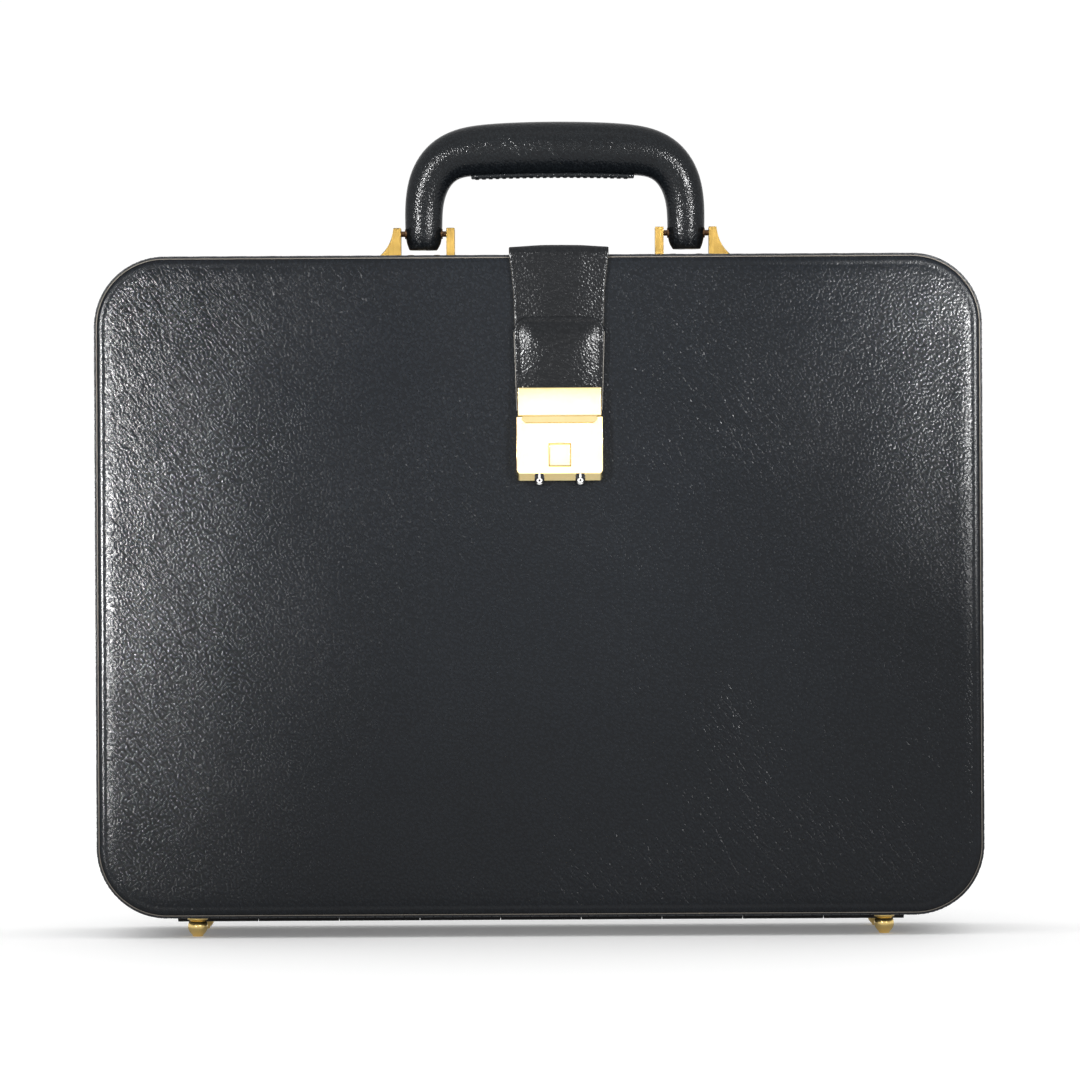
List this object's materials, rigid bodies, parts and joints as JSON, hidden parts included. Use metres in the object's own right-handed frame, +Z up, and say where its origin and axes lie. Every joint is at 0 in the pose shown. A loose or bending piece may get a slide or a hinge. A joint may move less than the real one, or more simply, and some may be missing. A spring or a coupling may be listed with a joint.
{
  "type": "attache case",
  "caption": "Hard-sided black leather attache case with a hinged lid, lid stays, top handle in brass brackets, strap with a push-button number lock, and ball feet.",
  "frame": {"origin": "on the floor under the centre of the closed case with its handle up, at the bottom centre of its bounding box", "axes": "+X to the right seen from the front, +Y from the lid to the base (back), +Z up"},
  "size_m": [0.4422, 0.1174, 0.4074],
  "materials": {
    "leather": "fine pebble grain, satin",
    "board": "grey bookbinder's board",
    "frame_wood": "plain poplar",
    "suede": "brown suede cloth",
    "brass": "polished light gold",
    "hinge_black": "black lacquer",
    "steel": "plain steel",
    "dial_black": "black with white digits"
  },
  "bodies": {
    "base": {"base_band": "leather", "base_panel": "leather", "base_board": "board", "base_frame": "frame_wood", "base_lining": "suede", "dust_lip": "suede", "foot_back_left": "brass", "foot_back_right": "brass", "hinge_leaf_base": "hinge_black", "hinge_pin": "steel", "stay_guide_base_left": "brass", "stay_guide_base_right": "brass", "side_rivet_left": "brass", "side_rivet_right": "brass", "strap_root": "leather", "strap_rivet_left": "brass", "strap_rivet_right": "brass", "bracket_left": "brass", "bracket_right": "brass", "handle_pin_left": "steel", "handle_pin_right": "steel", "bracket_screw_left_1": "brass", "bracket_screw_left_2": "brass", "bracket_screw_right_1": "brass", "bracket_screw_right_2": "brass"},
    "lid": {"lid_band": "leather", "lid_panel": "leather", "lid_board": "board", "lid_frame": "frame_wood", "lid_lining": "suede", "lid_pocket": "suede", "foot_front_left": "brass", "foot_front_right": "brass", "hinge_leaf_lid": "hinge_black", "stay_guide_lid_left": "brass", "stay_guide_lid_right": "brass", "lock_case": "brass", "lock_back": "brass", "dial_axle": "steel", "button_spring": "steel"},
    "stay_link_left": {"stay_left": "brass"},
    "stay_link_right": {"stay_right": "brass"},
    "strap_flap": {"strap_leg": "leather", "strap_chape": "leather", "hasp_plate": "brass"},
    "button": {"lock_button": "brass"},
    "latch": {"lock_latch": "steel"},
    "number_wheel_left": {"dial_left": "dial_black"},
    "number_wheel_right": {"dial_right": "dial_black"},
    "handle": {"handle_grip": "leather", "handle_bush_left": "brass", "handle_bush_right": "brass"}
  },
  "joints": [
    {"name": "lid_hinge", "type": "hinge", "parent": "base", "child": "lid", "pos_m": [0, -0.0081, 0.0081], "axis": [1, 0, 0], "range_deg": [0, 95]},
    {"name": "stay_slide_left", "type": "hinge", "parent": "base", "child": "stay_link_left", "pos_m": [0, -0.0081, 0.0081], "axis": [1, 0, 0], "range_deg": [0, 47.5]},
    {"name": "stay_slide_right", "type": "hinge", "parent": "base", "child": "stay_link_right", "pos_m": [0, -0.0081, 0.0081], "axis": [1, 0, 0], "range_deg": [0, 47.5]},
    {"name": "strap_bend", "type": "hinge", "parent": "base", "child": "strap_flap", "pos_m": [0.0105, -0.0444, 0.34], "axis": [-1, 0, 0], "range_deg": [0, 90]},
    {"name": "button_press", "type": "slide", "parent": "lid", "child": "button", "axis": [0, 1, 0], "range_m": [0, 0.0015], "stiffness_N_per_m": 400, "springref_m": -0.004, "deforming": ["button_spring"]},
    {"name": "latch_draw", "type": "slide", "parent": "lid", "child": "latch", "axis": [0, 0, -1], "range_m": [0, 0.0015]},
    {"name": "number_wheel_left_turn", "type": "hinge", "parent": "lid", "child": "number_wheel_left", "pos_m": [0.0004, -0.0512, 0.2279], "axis": [1, 0, 0], "continuous": true},
    {"name": "number_wheel_right_turn", "type": "hinge", "parent": "lid", "child": "number_wheel_right", "pos_m": [0.0206, -0.0512, 0.2279], "axis": [1, 0, 0], "continuous": true},
    {"name": "handle_swing", "type": "hinge", "parent": "base", "child": "handle", "pos_m": [0.0088, 0.0059, 0.351], "axis": [1, 0, 0], "range_deg": [-78, 78]}
  ],
  "couplings": [
    {"joint": "stay_slide_left", "follows": "lid_hinge", "ratio": 0.5},
    {"joint": "stay_slide_right", "follows": "lid_hinge", "ratio": 0.5},
    {"joint": "latch_draw", "follows": "button_press", "ratio": 1}
  ]
}
